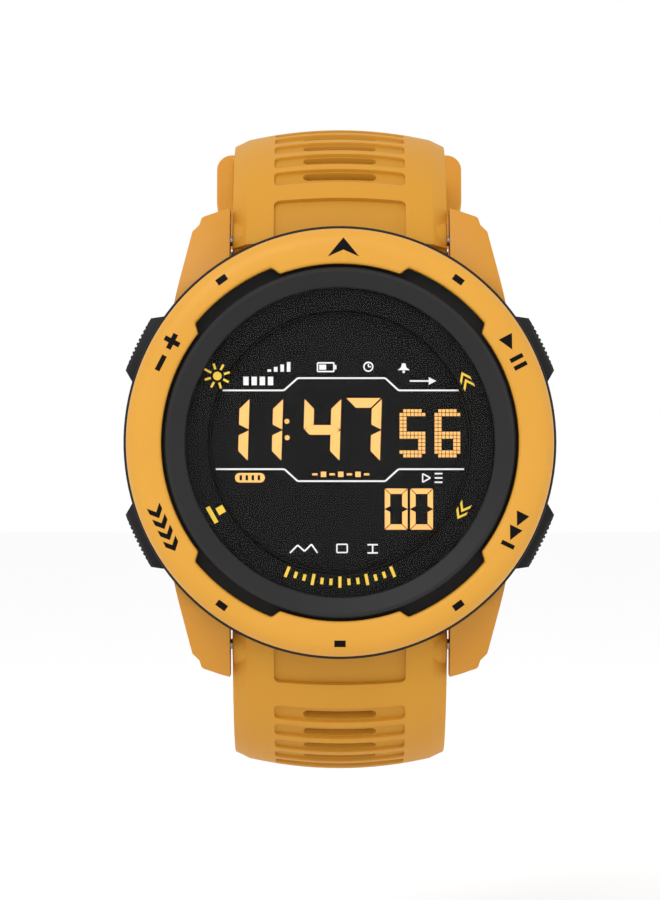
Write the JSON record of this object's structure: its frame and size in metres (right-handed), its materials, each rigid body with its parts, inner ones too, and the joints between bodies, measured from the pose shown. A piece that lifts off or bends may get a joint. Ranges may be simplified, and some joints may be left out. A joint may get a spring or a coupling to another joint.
{
  "type": "digital wrist watch",
  "caption": "Digital sports wrist watch: round case with a notched bezel and side pushers, on a hinged strap in halves with a pin buckle.",
  "frame": {"origin": "middle of the case back's wrist face", "axes": "+Y from the watch into the wrist, +Z towards 12 o'clock, +X towards 3 o'clock"},
  "size_m": [0.05, 0.0981, 0.0774],
  "materials": {
    "mid_case": "satin moulded",
    "bezel": "satin moulded, printed marks",
    "strap_rubber": "soft satin silicone",
    "black_plastic": "fine satin",
    "black_gloss": "polished",
    "slate_plastic": "fine matt",
    "mineral_glass": "polished",
    "seal_rubber": "matt",
    "display": "dark liquid-crystal panel",
    "light_guide": "clear moulded",
    "contact_rubber": "matt",
    "frame_plastic": "moulded",
    "board": "solder mask",
    "steel": "brushed",
    "black_steel": "black coated steel",
    "brass": "plain"
  },
  "bodies": {
    "case": {"mid_case": "mid_case", "rim_ring": "black_plastic", "bezel": "bezel", "glass_ring": "slate_plastic", "glass": "mineral_glass", "glass_gasket": "seal_rubber", "dial_ring": "black_gloss", "display_panel": "display", "light_guide": "light_guide", "contact_strips": "contact_rubber", "movement_frame": "frame_plastic", "circuit_board": "board", "board_screws": "steel", "control_chip": "black_plastic", "crystal_can": "steel", "switch_leaves": "brass", "battery_cell": "steel", "battery_clip": "brass", "buzzer_disc": "brass", "case_back": "steel", "case_back_gasket": "seal_rubber", "case_back_screws": "steel", "spring_upper_left": "steel", "spring_lower_left": "steel", "spring_upper_right": "steel", "spring_lower_right": "steel", "pusher_seals": "seal_rubber", "spring_bar_tubes": "steel", "spring_bar_springs": "steel", "spring_bar_tips": "steel"},
    "strap_upper": {"strap_buckle_half": "strap_rubber", "keeper_fixed": "strap_rubber", "buckle_pin": "steel"},
    "strap_lower": {"strap_tail_half": "strap_rubber"},
    "buckle": {"buckle_frame": "black_steel"},
    "tongue": {"buckle_tongue": "black_steel"},
    "keeper": {"keeper_free": "strap_rubber"},
    "pusher_upper_left": {"pusher_upper_left": "black_plastic", "clip_upper_left": "steel"},
    "pusher_lower_left": {"pusher_lower_left": "black_plastic", "clip_lower_left": "steel"},
    "pusher_upper_right": {"pusher_upper_right": "black_plastic", "clip_upper_right": "steel"},
    "pusher_lower_right": {"pusher_lower_right": "black_plastic", "clip_lower_right": "steel"}
  },
  "joints": [
    {"name": "press_upper_left", "type": "slide", "parent": "case", "child": "pusher_upper_left", "axis": [0.8988, 0, -0.4384], "range_m": [0, 0.0008], "stiffness_N_per_m": 500, "springref_m": -0.001, "deforming": ["spring_upper_left"]},
    {"name": "press_lower_left", "type": "slide", "parent": "case", "child": "pusher_lower_left", "axis": [0.8988, 0, 0.4384], "range_m": [0, 0.0008], "stiffness_N_per_m": 500, "springref_m": -0.001, "deforming": ["spring_lower_left"]},
    {"name": "press_upper_right", "type": "slide", "parent": "case", "child": "pusher_upper_right", "axis": [-0.8988, 0, -0.4384], "range_m": [0, 0.0008], "stiffness_N_per_m": 500, "springref_m": -0.001, "deforming": ["spring_upper_right"]},
    {"name": "press_lower_right", "type": "slide", "parent": "case", "child": "pusher_lower_right", "axis": [-0.8988, 0, 0.4384], "range_m": [0, 0.0008], "stiffness_N_per_m": 500, "springref_m": -0.001, "deforming": ["spring_lower_right"]},
    {"name": "upper_strap_hinge", "type": "hinge", "parent": "case", "child": "strap_upper", "pos_m": [0, -0.0052, 0.0236], "axis": [1, 0, 0], "range_deg": [-3, 35]},
    {"name": "lower_strap_hinge", "type": "hinge", "parent": "case", "child": "strap_lower", "pos_m": [0, -0.0052, -0.0236], "axis": [-1, 0, 0], "range_deg": [-3, 35]},
    {"name": "buckle_hinge", "type": "hinge", "parent": "strap_upper", "child": "buckle", "pos_m": [0, 0.06208, 0.02368], "axis": [1, 0, 0], "range_deg": [-35, 60]},
    {"name": "tongue_hinge", "type": "hinge", "parent": "buckle", "child": "tongue", "pos_m": [0, 0.06208, 0.02368], "axis": [1, 0, 0], "range_deg": [0, 70]},
    {"name": "keeper_slide", "type": "slide", "parent": "strap_upper", "child": "keeper", "axis": [0, 0.9741, -0.2263], "range_m": [-0.004, 0.004]}
  ]
}
